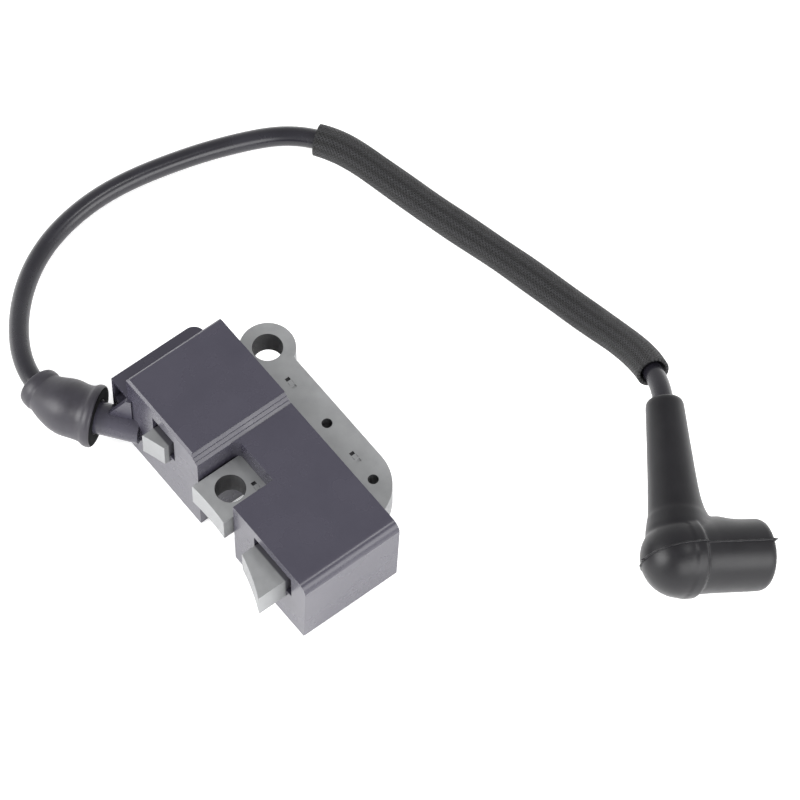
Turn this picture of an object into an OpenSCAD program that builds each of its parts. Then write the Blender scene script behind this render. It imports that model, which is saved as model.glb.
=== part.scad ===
// Ignition coil of a small two-stroke engine: a laminated E core that carries two potted
// plastic blocks, with a high-tension lead that ends in a rubber spark-plug boot.
// +X runs along the flywheel's rim, -Y faces the flywheel, +Z is the screw axis, and z = 0
// is the surface that the tall block and the lead lie on.

/* [Core] */
// Thickness of the lamination stack
core_t = 7.5; // [6:0.5:7.5]
// Height of the stack's underside above the tall block's foot
core_z = 14.2; // [13.5:0.1:14.2]
// Radius of the flywheel that the pole faces clear
flywheel_r = 66; // [62:1:70]
// Radius of the two mounting holes
screw_hole_r = 3.7; // [2.6:0.1:3.8]
// Outer radius of the mounting ring at the yoke's end
lug_r = 6.9; // [6.5:0.1:6.9]

/* [Blocks] */
// Length of the tall block along X
coil_len = 28.2; // [28:0.1:28.6]
// Height of the tall block
coil_h = 30.5; // [30:0.1:32]
// Depth of both blocks along Y
block_depth = 27.8; // [27.4:0.1:27.8]
// Length of the low block, from the tall block's side
module_len = 42; // [41.5:0.1:42.5]
// Height of the low block's top
module_top = 28.5; // [28.2:0.1:29.5]
// Height of the low block's underside
module_bottom = 3.5; // [2.5:0.1:3.6]
// Wall thickness of both cases
wall = 1.5; // [1.2:0.1:1.5]
// Radius of the fillet along the low block's free end
end_fillet_r = 2.8; // [1.5:0.1:3]

/* [Lead] */
// Outer diameter of the high-tension lead
lead_d = 5; // [4.8:0.1:5]
// Diameter of the lead's stranded conductor
conductor_d = 1.8; // [1.2:0.1:1.8]
// Outer diameter of the woven sleeve
sleeve_d = 8; // [7.6:0.1:8]

/* [Plug boot] */
// Outer radius of the boot's socket
socket_r = 8.7; // [8.4:0.1:9]
// Radius of the socket's bore, which grips the plug's insulator
socket_bore_r = 5.5; // [5:0.1:5.8]
// Depth of the bore that grips the insulator
socket_bore_depth = 11; // [10:0.5:11.5]
// Distance from the elbow's centre to the socket's rim
socket_reach = 22; // [21:0.5:22]
// Length of the stem, from the elbow's centre to its end
stem_len = 41.7; // [40:0.1:42]

/* [Hidden] */
$fn = 64;

// Play between pieces that slide or drop into each other
gap = 0.1;
// Overrun of every cutting solid past the face that it cuts
over = 1;

// Block faces
face_y = -15.2;
back_y = face_y + block_depth;
coil_x1 = -1.5;
coil_x0 = coil_x1 - coil_len;
module_x1 = coil_x1 + module_len;
notch_x1 = 12.5;
notch_y1 = -3.3;
notch_r = 2;
front_wall = 3.2;
potting_recess = 0.8;
pocket_depth = 2.2;
end_draft = 1.2;
edge_chamfer = 0.6;
step_w = 0.85;
step_h = 0.75;

// Core legs, each [lowest x, highest x], and the yoke
leg_coil = [-19.2, -13.1];
leg_centre = [-0.9, 11.6];
leg_charge = [20.8, 32.7];
yoke_y = [13, 23];
corner_r = 12.7;
flywheel_x = 5.35;
pole_y = -17.2;
coil_pole_setback = 3.1;
leg_screw = [5.1, -10.6];
lug_screw = [-20.3, 19.6];
rivet_r = 1.25;
rivets = [[5, 18.2], [23.8, 17.6]];
lance = [3.6, 1.2, 0.3];
lances = [[-9.1, 18.1], [16.4, 17.9], [8.6, -5.4]];
core_mid = core_z + core_t / 2;

// High-tension tower: its axis leaves the tall block's corner along tower_dir
tower_dir = [-0.8, -0.6, 0];
tower_r = 4;
tower_z = 10;
tower_root = [-26.6, -13.9, tower_z];
tower_len = 15.4;
tower_bore_r = lead_d / 2 + gap;
web_t = 1.2;
web_end = 8;
pin_r = 0.6;
pin_inside = 2.5;
pin_spike = 7;

// Side compartment of the tall block
side_w = 6.5;
side_len = 25.4;
side_top = 22;
side_bottom = 4;
side_wall = 1;
side_r = 3;
recess_depth = 8;
recess_wall = 2;
// Stop terminal: place, width and thickness of its blade, and the height of its tail
blade_x = coil_x0 - 0.3;
blade_y = [1, 5.8];
blade_t = 0.5;
blade_foot = 6;
tail_z = 17;

// Lead route: control points of a cubic B-spline, from inside the tower to inside the boot
ROUTE = [[-29, -15.7, 10], [-37, -21.7, 10], [-45, -26, 9.5], [-53.5, -27, 9],
    [-62, -24.5, 8], [-70, -19.5, 6], [-77, -13.5, 4], [-83, -6, 3], [-87, 2.5, 2.6],
    [-89, 11.5, 2.6], [-89.5, 20.5, 2.6], [-88.5, 29.5, 2.6], [-86.5, 38.5, 2.6],
    [-84, 47.5, 2.6], [-80.5, 56.5, 2.8], [-76, 65, 3.6], [-69.5, 71.5, 4.1],
    [-61.5, 75.5, 4.2], [-52.5, 77.5, 4.2], [-43.5, 79.5, 4.2], [-34.5, 81.5, 4.1],
    [-26, 83.7, 4.1], [-17, 86, 4.1], [-8, 88.2, 4.1], [1, 90, 4.3], [10, 91.5, 5],
    [18.5, 92.5, 7], [27, 93, 10], [35.5, 92.3, 13.5], [43.5, 89.7, 16.5],
    [51, 84.8, 17.9], [58.5, 79.7, 17.5], [66, 74.7, 17.1], [73.4, 69.7, 16.6]];
ring_step = 0.5;
sleeve_span = [16, 28.5];
tube_sides = 10;
boot_sides = 24;

// Plug boot: stem and socket directions as [heading, pitch] in degrees
stem_turn = [146.1, 2.8];
socket_turn = [66.5, -21];
dome_r = 9.5;
ring_r = 9.75;
ring_end = 3;
stem_tip_r = 4.5;
stem_root_r = 6.6;
chamber_r = 4.6;
elbow = [82.4, 63.7, socket_reach * sin(-socket_turn[1]) + socket_r * cos(socket_turn[1]) + 0.1];

// Tower boot: [place along the route, outer radius, inner radius]
TOWER_BOOT = [[0.9, 7.3, 5.9], [1.07, 7.45, 5.9], [1.15, 7.2, 5.2], [1.21, 6.8, 4],
    [1.55, 7, 4], [1.57, 7, 2.5], [1.95, 6.9, 2.5], [2.25, 6.3, 2.5], [2.45, 5.5, 2.5],
    [2.6, 5.1, 2.5], [2.8, 5, 2.5]];

// ---- Route and sweep ----

// Control point i, carried on in a straight line past both ends
function control(i) = i < 0 ? 2 * ROUTE[0] - ROUTE[1]
    : i >= len(ROUTE) ? 2 * ROUTE[len(ROUTE) - 1] - ROUTE[len(ROUTE) - 2] : ROUTE[i];

// Point of the uniform cubic B-spline at parameter t
function route_at(t) = let (i = min(floor(t), len(ROUTE) - 2), u = t - i)
    ((1 - u) ^ 3 * control(i - 1) + (3 * u ^ 3 - 6 * u ^ 2 + 4) * control(i)
    + (-3 * u ^ 3 + 3 * u ^ 2 + 3 * u + 1) * control(i + 1) + u ^ 3 * control(i + 2)) / 6;

function unit(v) = v / norm(v);
function heading_at(t) = unit(route_at(t + 0.01) - route_at(t - 0.01));

// Ring of points of radius r round point c, square to direction d, its first point level
function ring_at(c, d, r, sides) = let (side = unit(cross(d, [0, 0, 1])), up = cross(side, d))
    [for (k = [0:sides - 1]) c + r * (cos(360 * k / sides) * side + sin(360 * k / sides) * up)];

// Solid between the rings of a loop: ring i is joined to ring i + 1 and the last to the first
module ring_loop(rings) {
    sides = len(rings[0]);
    count = len(rings);
    points = [for (r = rings) each r];
    faces = [for (i = [0:count - 1], k = [0:sides - 1]) let (j = (i + 1) % count,
        n = (k + 1) % sides) each [[i * sides + k, j * sides + k, j * sides + n],
        [i * sides + k, j * sides + n, i * sides + n]]];
    polyhedron(points, faces, convexity = 10);
}

// Hollow tube along the route: stations are [t, outer radius, inner radius]
module route_tube(stations, sides) {
    outer = [for (s = stations) ring_at(route_at(s[0]), heading_at(s[0]), s[1], sides)];
    inner = [for (i = [len(stations) - 1:-1:0]) let (s = stations[i])
        ring_at(route_at(s[0]), heading_at(s[0]), s[2], sides)];
    ring_loop(concat(outer, inner));
}

// Solid bar through a list of rings, closed by a flat fan at each end
module ring_bar(rings) {
    sides = len(rings[0]);
    last = (len(rings) - 1) * sides;
    points = [for (r = rings) each r];
    walls = [for (i = [0:len(rings) - 2], k = [0:sides - 1]) let (n = (k + 1) % sides)
        each [[i * sides + k, (i + 1) * sides + k, (i + 1) * sides + n],
        [i * sides + k, (i + 1) * sides + n, i * sides + n]]];
    ends = [for (k = [1:sides - 2]) each [[0, k, k + 1], [last, last + k + 1, last + k]]];
    polyhedron(points, concat(walls, ends), convexity = 10);
}

// ---- Shared shapes ----

// Box from its lowest to its highest corner
module box(low, high) translate(low) cube(high - low);

// Tube of rectangular section round the leg centred on x, along Y from y[0] to y[1];
// inner and outer are [width along X, height along Z]
module leg_tube(x, inner, outer, y) difference() {
    box([x - outer[0] / 2, y[0], core_mid - outer[1] / 2],
        [x + outer[0] / 2, y[1], core_mid + outer[1] / 2]);
    box([x - inner[0] / 2, y[0] - over, core_mid - inner[1] / 2],
        [x + inner[0] / 2, y[1] + over, core_mid + inner[1] / 2]);
}

// Section of one core leg grown by play, along Y from y[0] to y[1]
module leg_bar(leg, play, y)
    box([leg[0] - play, y[0], core_z - play], [leg[1] + play, y[1], core_z + core_t + play]);

// All three legs, as the cases and the potting are cut by them
module leg_cut(leg, play) leg_bar(leg, play, [face_y - over, back_y + over]);

// Cylinder along tower_dir, from distance a to distance b outward of the tower's root
module tower_bar(a, b, r) translate(tower_root + a * tower_dir)
    rotate([0, 90, atan2(tower_dir[1], tower_dir[0])]) cylinder(h = b - a, r = r);

// Child turned so that its +Z points along [heading, pitch], at the boot's elbow
module from_elbow(turn) translate(elbow) rotate([0, 90 - turn[1], turn[0]]) children();

// ---- Core ----

// Flywheel rim that a pole face clears, with the wanted setback
module rim(setback) translate([flywheel_x, pole_y - flywheel_r, 0])
    cylinder(h = coil_h, r = flywheel_r + setback, $fn = 256);

module core_stack() color("lightgray") difference() {
    union() {
        for (leg = [leg_centre, leg_charge])
            leg_bar(leg, 0, [pole_y - 2 * corner_r, yoke_y[0] + over]);
        leg_bar(leg_coil, 0, [pole_y - coil_pole_setback, yoke_y[0] + over]);
        box([leg_coil[0], yoke_y[0], core_z], [leg_charge[1], yoke_y[1], core_z + core_t]);
        translate([lug_screw[0], lug_screw[1], core_z]) cylinder(h = core_t, r = lug_r);
    }
    rim(0);
    intersection() {
        rim(coil_pole_setback);
        box([2 * leg_coil[0], pole_y - corner_r, 0], [leg_coil[1] + over, 0, coil_h]);
    }
    difference() {
        box([leg_charge[1] - corner_r, yoke_y[1] - corner_r, 0],
            [leg_charge[1] + over, yoke_y[1] + over, coil_h]);
        translate([leg_charge[1] - corner_r, yoke_y[1] - corner_r, -over])
            cylinder(h = coil_h + 2 * over, r = corner_r, $fn = 128);
    }
    for (p = [leg_screw, lug_screw])
        translate([p[0], p[1], core_z - over]) cylinder(h = core_t + 2 * over, r = screw_hole_r);
    for (p = rivets)
        translate([p[0], p[1], core_z - over]) cylinder(h = core_t + 2 * over, r = rivet_r);
    for (p = lances)
        translate([p[0], p[1], core_z + core_t]) cube([lance[0], lance[1], 2 * lance[2]], true);
}

// ---- Tall block ----

// Front view of the tall block: chamfered at the left, stepped down at the right
module coil_outline() polygon([[coil_x0, 0], [coil_x1, 0], [coil_x1, coil_h - 3 * step_h],
    [coil_x1 - step_w, coil_h - 3 * step_h + 0.3], [coil_x1 - step_w, coil_h - 2 * step_h],
    [coil_x1 - 2 * step_w, coil_h - 2 * step_h + 0.3], [coil_x1 - 2 * step_w, coil_h - step_h],
    [coil_x1 - 3 * step_w, coil_h - step_h + 0.3], [coil_x1 - 3 * step_w, coil_h],
    [coil_x0 + edge_chamfer, coil_h], [coil_x0, coil_h - edge_chamfer]]);

// Inside of the tall block, from its open foot to the underside of its top
module coil_cavity(bottom) box([coil_x0 + wall, face_y + front_wall, bottom],
    [coil_x1 - wall - 2 * step_w, back_y - wall, coil_h - wall]);

// Compartment on the -X side, rounded at its outer back corner: the front is cored out from the
// flywheel side, and the rest is open from below as the stop terminal's socket
module side_compartment() difference() {
    x0 = coil_x0 - side_w;
    y1 = face_y + side_len;
    union() {
        box([x0, face_y, side_bottom], [coil_x0 + 0.5, y1 - side_r, side_top]);
        box([x0 + side_r, face_y, side_bottom], [coil_x0 + 0.5, y1, side_top]);
        translate([x0 + side_r, y1 - side_r, side_bottom])
            cylinder(h = side_top - side_bottom, r = side_r);
    }
    box([x0 + side_wall, face_y - over, tower_z + tower_r + 0.6],
        [coil_x0, face_y + recess_depth, side_top - side_wall]);
    box([x0 + side_wall, face_y + recess_depth + recess_wall, side_bottom - over],
        [coil_x0, y1 - side_wall, side_top - side_wall]);
}

// Web that ties the tower's top to the block's corner
module tower_web() translate(tower_root) rotate([0, 0, atan2(tower_dir[1], tower_dir[0])])
    translate([0, web_t / 2, 0]) rotate([90, 0, 0]) linear_extrude(web_t)
    polygon([[2, 0], [web_end, 0], [web_end, tower_r], [3.2, side_top - tower_z], [2, side_top - tower_z]]);

module coil_case() color("dimgray") difference() {
    union() {
        translate([0, back_y, 0]) rotate([90, 0, 0]) linear_extrude(block_depth) coil_outline();
        side_compartment();
        tower_web();
        tower_bar(0, tower_len, tower_r);
    }
    coil_cavity(-over);
    leg_cut(leg_coil, gap);
    // Recess in the front face over and beside the leg
    box([leg_coil[0] - 0.2, face_y - over, 17.2], [leg_coil[1] + 2.2, face_y + pocket_depth, 26.3]);
    // Chamfer along the top front edge
    translate([coil_x0 - over, face_y, coil_h]) rotate([45, 0, 0])
        cube([3 * coil_len, edge_chamfer * sqrt(2), edge_chamfer * sqrt(2)], true);
    tower_bar(3, tower_len + over, tower_bore_r);
    tower_bar(-pin_inside, 4, pin_r);
    stop_tail();
}

module coil_potting() color("darkslategray") difference() {
    coil_cavity(potting_recess);
    leg_cut(leg_coil, 0);
    secondary_envelope();
    tower_bar(0, tower_len, tower_r);
    tower_bar(-pin_inside, 0, pin_r);
    stop_tail();
}

// ---- Transformer on the first leg ----

coil_leg_x = (leg_coil[0] + leg_coil[1]) / 2;
coil_y = [face_y + front_wall + 0.3, back_y - wall - 0.5];
primary_inner = [leg_coil[1] - leg_coil[0] + 2 * gap, core_t + 2 * gap];
primary_outer = [7.9, 9.3];
primary_flange = [10.9, 12.3];
secondary_inner = [11.3, 12.7];
secondary_outer = [12.9, 14.3];
secondary_flange = [21, 20.4];
flange_t = 0.8;
section_count = 6;
section_pitch = (coil_y[1] - coil_y[0] - flange_t) / section_count;

module primary_bobbin() color("ivory") {
    leg_tube(coil_leg_x, primary_inner, primary_outer, coil_y);
    for (y = [coil_y[0], coil_y[1] - flange_t])
        leg_tube(coil_leg_x, primary_inner, primary_flange, [y, y + flange_t]);
}

module primary_winding() color("chocolate")
    leg_tube(coil_leg_x, primary_outer, primary_flange - [0.4, 0.4],
        [coil_y[0] + flange_t, coil_y[1] - flange_t]);

module secondary_bobbin() color("ivory") {
    leg_tube(coil_leg_x, secondary_inner, secondary_outer, coil_y);
    for (i = [0:section_count])
        leg_tube(coil_leg_x, secondary_inner, secondary_flange,
            [coil_y[0] + i * section_pitch, coil_y[0] + i * section_pitch + flange_t]);
}

module secondary_winding() color("peru") for (i = [0:section_count - 1])
    leg_tube(coil_leg_x, secondary_outer, secondary_flange - [1.2, 1.2],
        [coil_y[0] + i * section_pitch + flange_t, coil_y[0] + (i + 1) * section_pitch]);

// Space that the secondary bobbin fills, legs and primary included
module secondary_envelope() box([coil_leg_x - secondary_flange[0] / 2, coil_y[0],
    core_mid - secondary_flange[1] / 2],
    [coil_leg_x + secondary_flange[0] / 2, coil_y[1], core_mid + secondary_flange[1] / 2]);

module hv_pin() color("goldenrod") tower_bar(-pin_inside, pin_spike, pin_r);

// Tail of the stop terminal, which runs through the block's wall into the potting
module stop_tail() box([blade_x - blade_t, blade_y[0] + 1, tail_z],
    [coil_x0 + wall + 1.4, blade_y[1] - 1, tail_z + blade_t]);

module stop_terminal() color("silver") {
    box([blade_x - blade_t, blade_y[0], blade_foot], [blade_x, blade_y[1], tail_z + 2]);
    stop_tail();
}

// ---- Low block ----

// Front view of the low block from x0, filleted and drafted at its free end, inset by t
module module_outline(x0, t) {
    x1 = module_x1 - t;
    z1 = module_top - t;
    r = end_fillet_r - t / 2;
    polygon([[x0, module_bottom - t], [x1 - end_draft, module_bottom - t], [x1, z1 - r],
        [x1 - r, z1 - r], [x1 - r, z1], [x0, z1]]);
    translate([x1 - r, z1 - r]) circle(r);
}

// The low block's outline carried along Y from y[0] to y[1]
module module_bar(x0, t, y) translate([0, y[1], 0]) rotate([90, 0, 0])
    linear_extrude(y[1] - y[0]) module_outline(x0, t);

// Inside of the low block, from a height up to the underside of its top
module module_cavity(bottom) difference() {
    union() {
        module_bar(coil_x1 + wall, wall, [notch_y1 + wall, back_y - wall]);
        module_bar(notch_x1 + wall, wall, [face_y + front_wall, back_y - wall]);
    }
    box([coil_x1, face_y, -over], [module_x1, back_y, bottom]);
}

// Fillet in the notch's corner against the tall block
module notch_fillet() difference() {
    box([coil_x1, notch_y1 - notch_r, module_bottom], [coil_x1 + notch_r, notch_y1 + 0.5, module_top]);
    translate([coil_x1 + notch_r, notch_y1 - notch_r, 0]) cylinder(h = coil_h, r = notch_r);
}

module module_case() color("dimgray") difference() {
    union() {
        module_bar(coil_x1, 0, [notch_y1, back_y]);
        module_bar(notch_x1, 0, [face_y, back_y]);
        notch_fillet();
    }
    module_cavity(module_bottom - 2);
    leg_cut(leg_charge, gap);
    leg_cut(leg_centre, gap);
    // Recess in the front face over and beside the leg
    box([leg_charge[0] - 0.2, face_y - over, 17.2],
        [leg_charge[1] + 2.2, face_y + pocket_depth, 25.4]);
}

module module_potting() color("darkslategray") difference() {
    module_cavity(module_bottom + potting_recess);
    leg_cut(leg_charge, 0);
    leg_cut(leg_centre, 0);
    charge_envelope();
    board_plate();
    capacitor_body();
    thyristor_body();
    diode_bodies();
    resistor_bodies();
    ground_strip();
}

// ---- Charge coil on the third leg ----

charge_leg_x = (leg_charge[0] + leg_charge[1]) / 2;
charge_y = [face_y + front_wall + 0.3, back_y - wall - 0.5];
charge_inner = [leg_charge[1] - leg_charge[0] + 2 * gap, core_t + 2 * gap];
charge_outer = charge_inner + [1.6, 1.6];
charge_flange = [21, 16.4];
charge_split = charge_y[1] - 5;

module charge_bobbin() color("ivory") {
    leg_tube(charge_leg_x, charge_inner, charge_outer, charge_y);
    for (y = [charge_y[0], charge_split, charge_y[1] - flange_t])
        leg_tube(charge_leg_x, charge_inner, charge_flange, [y, y + flange_t]);
}

module charge_winding() color("chocolate")
    leg_tube(charge_leg_x, charge_outer, charge_flange - [1.2, 1.2],
        [charge_y[0] + flange_t, charge_split]);

module trigger_winding() color("peru")
    leg_tube(charge_leg_x, charge_outer, charge_flange - [3, 3],
        [charge_split + flange_t, charge_y[1] - flange_t]);

module charge_envelope() box([charge_leg_x - charge_flange[0] / 2, charge_y[0],
    core_mid - charge_flange[1] / 2],
    [charge_leg_x + charge_flange[0] / 2, charge_y[1], core_mid + charge_flange[1] / 2]);

// ---- Circuit ----

board_z = 5;
board_t = 1;
parts_z = board_z + board_t;

module board_plate() translate([0, 0, board_z]) linear_extrude(board_t)
    polygon([[0.6, -1.2], [14.6, -1.2], [14.6, -11], [37, -11], [37, 10.5], [0.6, 10.5]]);

module capacitor_body() box([1, -0.8, parts_z], [11, 9.6, parts_z + 7]);

// Flat three-legged package that lies on the board, with a hole in its tab
module thyristor_body() box([16.5, -9.5, parts_z], [24, 1, parts_z + 2.6]);

// Axial component on the board: body along X, centred on [x, y]
module axial(x, y, length, r) translate([x - length / 2, y, parts_z + r])
    rotate([0, 90, 0]) cylinder(h = length, r = r);

module diode_bodies() for (y = [4, 8]) axial(20, y, 5.2, 1.35);

module resistor_bodies() for (y = [-7.5, -2, 3.5]) axial(31, y, 6.3, 1.15);

// Strip from the board up to the centre leg's side, which earths the circuit to the core
module ground_strip() box([leg_centre[1], 1, parts_z], [leg_centre[1] + 0.5, 5, core_z + core_t]);

module circuit_board() color("darkgreen") board_plate();
module charge_capacitor() color("darkred") capacitor_body();
module thyristor() color("black") thyristor_body();
module diodes() color("black") diode_bodies();
module resistors() color("tan") resistor_bodies();
module ground_tab() color("silver") ground_strip();

// ---- Lead ----

module tower_boot() color("dimgray") route_tube(TOWER_BOOT, boot_sides);

// Stations along the route from t[0] to t[1], all with the same two radii
function stations(t, outer, inner) =
    [for (i = [0:round((t[1] - t[0]) / ring_step)]) [t[0] + i * ring_step, outer, inner]];

route_end = len(ROUTE) - 1;

module hv_lead() color("black")
    route_tube(stations([0, route_end], lead_d / 2, conductor_d / 2 + 0.05), tube_sides);

module lead_conductor() color("chocolate") ring_bar([for (s = stations([0, route_end], 0, 0))
    ring_at(route_at(s[0]), heading_at(s[0]), conductor_d / 2, tube_sides)]);

module lead_sleeve() color("black")
    route_tube(stations(sleeve_span, sleeve_d / 2, lead_d / 2 + 0.2), tube_sides);

// ---- Plug boot ----

module plug_boot() color("black") difference() {
    union() {
        translate(elbow) sphere(dome_r);
        from_elbow(socket_turn) {
            cylinder(h = ring_end, r = ring_r);
            cylinder(h = socket_reach, r = socket_r);
        }
        from_elbow(stem_turn) cylinder(h = stem_len, r1 = stem_root_r, r2 = stem_tip_r);
    }
    from_elbow(stem_turn) cylinder(h = stem_len + over, r = lead_d / 2 - 0.05);
    from_elbow(socket_turn) cylinder(h = socket_reach + over, r = chamber_r);
    from_elbow(socket_turn) translate([0, 0, socket_reach - socket_bore_depth])
        cylinder(h = socket_bore_depth + over, r = socket_bore_r);
}

// Contact spring: a wire that runs in from the lead's conductor and coils round the plug's terminal
spring_r = 3.6;
spring_wire_r = 0.5;
spring_turns = 5;
spring_pitch = 1.5;
spring_start = 2.5;
spring_steps = 12;

// Unit vector along [heading, pitch]
function aim(turn) = [cos(turn[0]) * cos(turn[1]), sin(turn[0]) * cos(turn[1]), sin(turn[1])];

module plug_spring() {
    along = aim(socket_turn);
    stem = aim(stem_turn);
    side = unit(stem - (stem * along) * along);
    up = cross(along, side);
    path = concat([elbow + 14 * stem, elbow + 8 * stem, elbow + 5 * stem + along],
        [for (i = [0:spring_turns * spring_steps]) let (a = 360 * i / spring_steps)
        elbow + (spring_start + spring_pitch * i / spring_steps) * along
            + spring_r * (cos(a) * side + sin(a) * up)]);
    last = len(path) - 1;
    color("silver") ring_bar([for (i = [0:last]) ring_at(path[i],
        unit(path[min(i + 1, last)] - path[max(i - 1, 0)]), spring_wire_r, 6)]);
}

core_stack();
coil_case();
module_case();
coil_potting();
module_potting();
primary_bobbin();
primary_winding();
secondary_bobbin();
secondary_winding();
charge_bobbin();
charge_winding();
trigger_winding();
circuit_board();
charge_capacitor();
thyristor();
diodes();
resistors();
hv_pin();
ground_tab();
stop_terminal();
tower_boot();
hv_lead();
lead_conductor();
lead_sleeve();
plug_boot();
plug_spring();
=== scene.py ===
"""Ignition coil of a small two-stroke engine: its looks, built round the fixed frame.

The coil's own lengths are in millimetres, and one function turns them to metres as a mesh
is made. The table and the lamps are in metres. The origin is on the surface that the coil
lies on.
"""

import logging
import math
from dataclasses import dataclass, field
from enum import Enum
from typing import Any, Sequence

import bmesh
import bpy
import numpy as np
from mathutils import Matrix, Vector
from mathutils.geometry import delaunay_2d_cdt


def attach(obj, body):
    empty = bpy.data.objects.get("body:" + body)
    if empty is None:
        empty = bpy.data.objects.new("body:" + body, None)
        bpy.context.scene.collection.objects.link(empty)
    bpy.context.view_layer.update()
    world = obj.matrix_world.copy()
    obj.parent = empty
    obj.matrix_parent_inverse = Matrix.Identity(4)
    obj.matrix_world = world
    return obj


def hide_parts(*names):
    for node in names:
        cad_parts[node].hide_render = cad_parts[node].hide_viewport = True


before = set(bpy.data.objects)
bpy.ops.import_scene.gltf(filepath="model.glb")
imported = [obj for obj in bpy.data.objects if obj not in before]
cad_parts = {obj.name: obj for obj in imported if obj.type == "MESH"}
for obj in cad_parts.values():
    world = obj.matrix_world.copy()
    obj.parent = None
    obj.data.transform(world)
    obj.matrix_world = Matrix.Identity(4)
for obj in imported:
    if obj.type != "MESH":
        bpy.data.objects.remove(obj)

LOG = logging.getLogger("ignition_coil")
MM = 0.001
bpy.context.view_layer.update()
ROOT = "root"
# Matrix that turns rows of X and Y a quarter turn to the left.
LEFT_TURN = np.array([[0.0, 1.0], [-1.0, 0.0]])


# ---- Small tools ----

def linear(hex_colour: str) -> tuple[float, float, float, float]:
    """Turns an sRGB hex colour to linear light.

    Each channel below 0.04045 is divided by 12.92, and any other is raised by 2.4 after
    0.055 is added and the sum divided by 1.055.

    Args:
        hex_colour: six hex digits after a hash.

    Returns:
        Linear red, green and blue, and an alpha of one.
    """
    parts = [int(hex_colour[i:i + 2], 16) / 255 for i in (1, 3, 5)]
    r, g, b = (p / 12.92 if p <= 0.04045 else ((p + 0.055) / 1.055) ** 2.4 for p in parts)
    return (r, g, b, 1.0)


def add(tree: bpy.types.NodeTree, kind: str, inputs: dict[Any, Any] | None = None,
        **settings: Any) -> bpy.types.Node:
    """Adds one node, with its settings, its values and its links.

    Args:
        tree: the node tree.
        kind: the node's type without its "ShaderNode" start.
        inputs: socket name or number to a plain value, or to the socket that feeds it.
        settings: properties of the node.

    Returns:
        The new node.
    """
    node = tree.nodes.new("ShaderNode" + kind)
    for name, value in settings.items():
        setattr(node, name, value)
    for name, value in (inputs or {}).items():
        if isinstance(value, bpy.types.NodeSocket):
            tree.links.new(value, node.inputs[name])
        else:
            node.inputs[name].default_value = value
    return node


def unit(v: np.ndarray) -> np.ndarray:
    """Vectors of length one, along the last axis."""
    return v / np.maximum(np.linalg.norm(v, axis=-1, keepdims=True), 1e-12)


def aim(turn: Sequence[float]) -> np.ndarray:
    """Unit vector along [heading, pitch] in degrees."""
    h, p = np.radians(turn)
    return np.array([np.cos(h) * np.cos(p), np.sin(h) * np.cos(p), np.sin(p)])


def quads(rows: int, cols: int, loop_rows: bool = False, loop_cols: bool = True
          ) -> np.ndarray:
    """Corner numbers of the faces of a grid of points.

    Point (i, k) has number i * cols + k, and a looped direction joins its last line to its
    first.

    Args:
        rows: lines of points.
        cols: points in a line.
        loop_rows: joins the last line to the first.
        loop_cols: joins each line's last point to its first.

    Returns:
        One row of four numbers per face.
    """
    i = np.arange(rows if loop_rows else rows - 1)[:, None]
    k = np.arange(cols if loop_cols else cols - 1)[None, :]
    j, n = (i + 1) % rows, (k + 1) % cols
    return np.stack([i * cols + k, i * cols + n, j * cols + n, j * cols + k],
                    axis=-1).reshape(-1, 4)


def capped(rows: int, cols: int) -> list[np.ndarray]:
    """Faces of a closed tube of rings: its wall, and a fan of triangles at each end.

    Args:
        rows: rings of the tube.
        cols: points in a ring.

    Returns:
        Wall, first fan and last fan. The two points after the rings are the fans' middles.
    """
    k = np.arange(cols)
    after, last, middle = (k + 1) % cols, (rows - 1) * cols, rows * cols
    return [quads(rows, cols), np.stack([np.full_like(k, middle), after, k], -1),
            np.stack([np.full_like(k, middle + 1), last + k, last + after], -1)]


def rings(centre: np.ndarray, side: np.ndarray, up: np.ndarray, radius: np.ndarray,
          sides: int) -> np.ndarray:
    """Rings of points round a line.

    A point is its ring's centre, plus the radius times the cosine of its angle along side
    and the sine of it along up.

    Args:
        centre: one row per ring.
        side: unit vector at the angle of zero, one per ring or one for all.
        up: unit vector at a quarter turn, as side.
        radius: one per ring, or one row per ring with a radius for each point.
        sides: points in a ring.

    Returns:
        One row per point, ring by ring.
    """
    a = np.linspace(0, 2 * np.pi, sides, endpoint=False)[:, None]
    r = np.broadcast_to(np.asarray(radius, float).reshape(len(centre), -1),
                        (len(centre), sides))
    ring = np.cos(a) * side[..., None, :] + np.sin(a) * up[..., None, :]
    return (centre[:, None] + r[..., None] * ring).reshape(-1, 3)


@dataclass
class Patches:
    """Points and faces of one mesh, gathered patch by patch."""

    points: list[np.ndarray] = field(default_factory=list)
    faces: list[np.ndarray] = field(default_factory=list)
    total: int = 0

    def take(self, points: np.ndarray, *faces: np.ndarray) -> None:
        """Adds a patch.

        Args:
            points: the patch's points.
            faces: arrays of faces, numbered from the patch's own first point.
        """
        self.points.append(points)
        self.faces += [patch + self.total for patch in faces]
        self.total += len(points)


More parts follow.
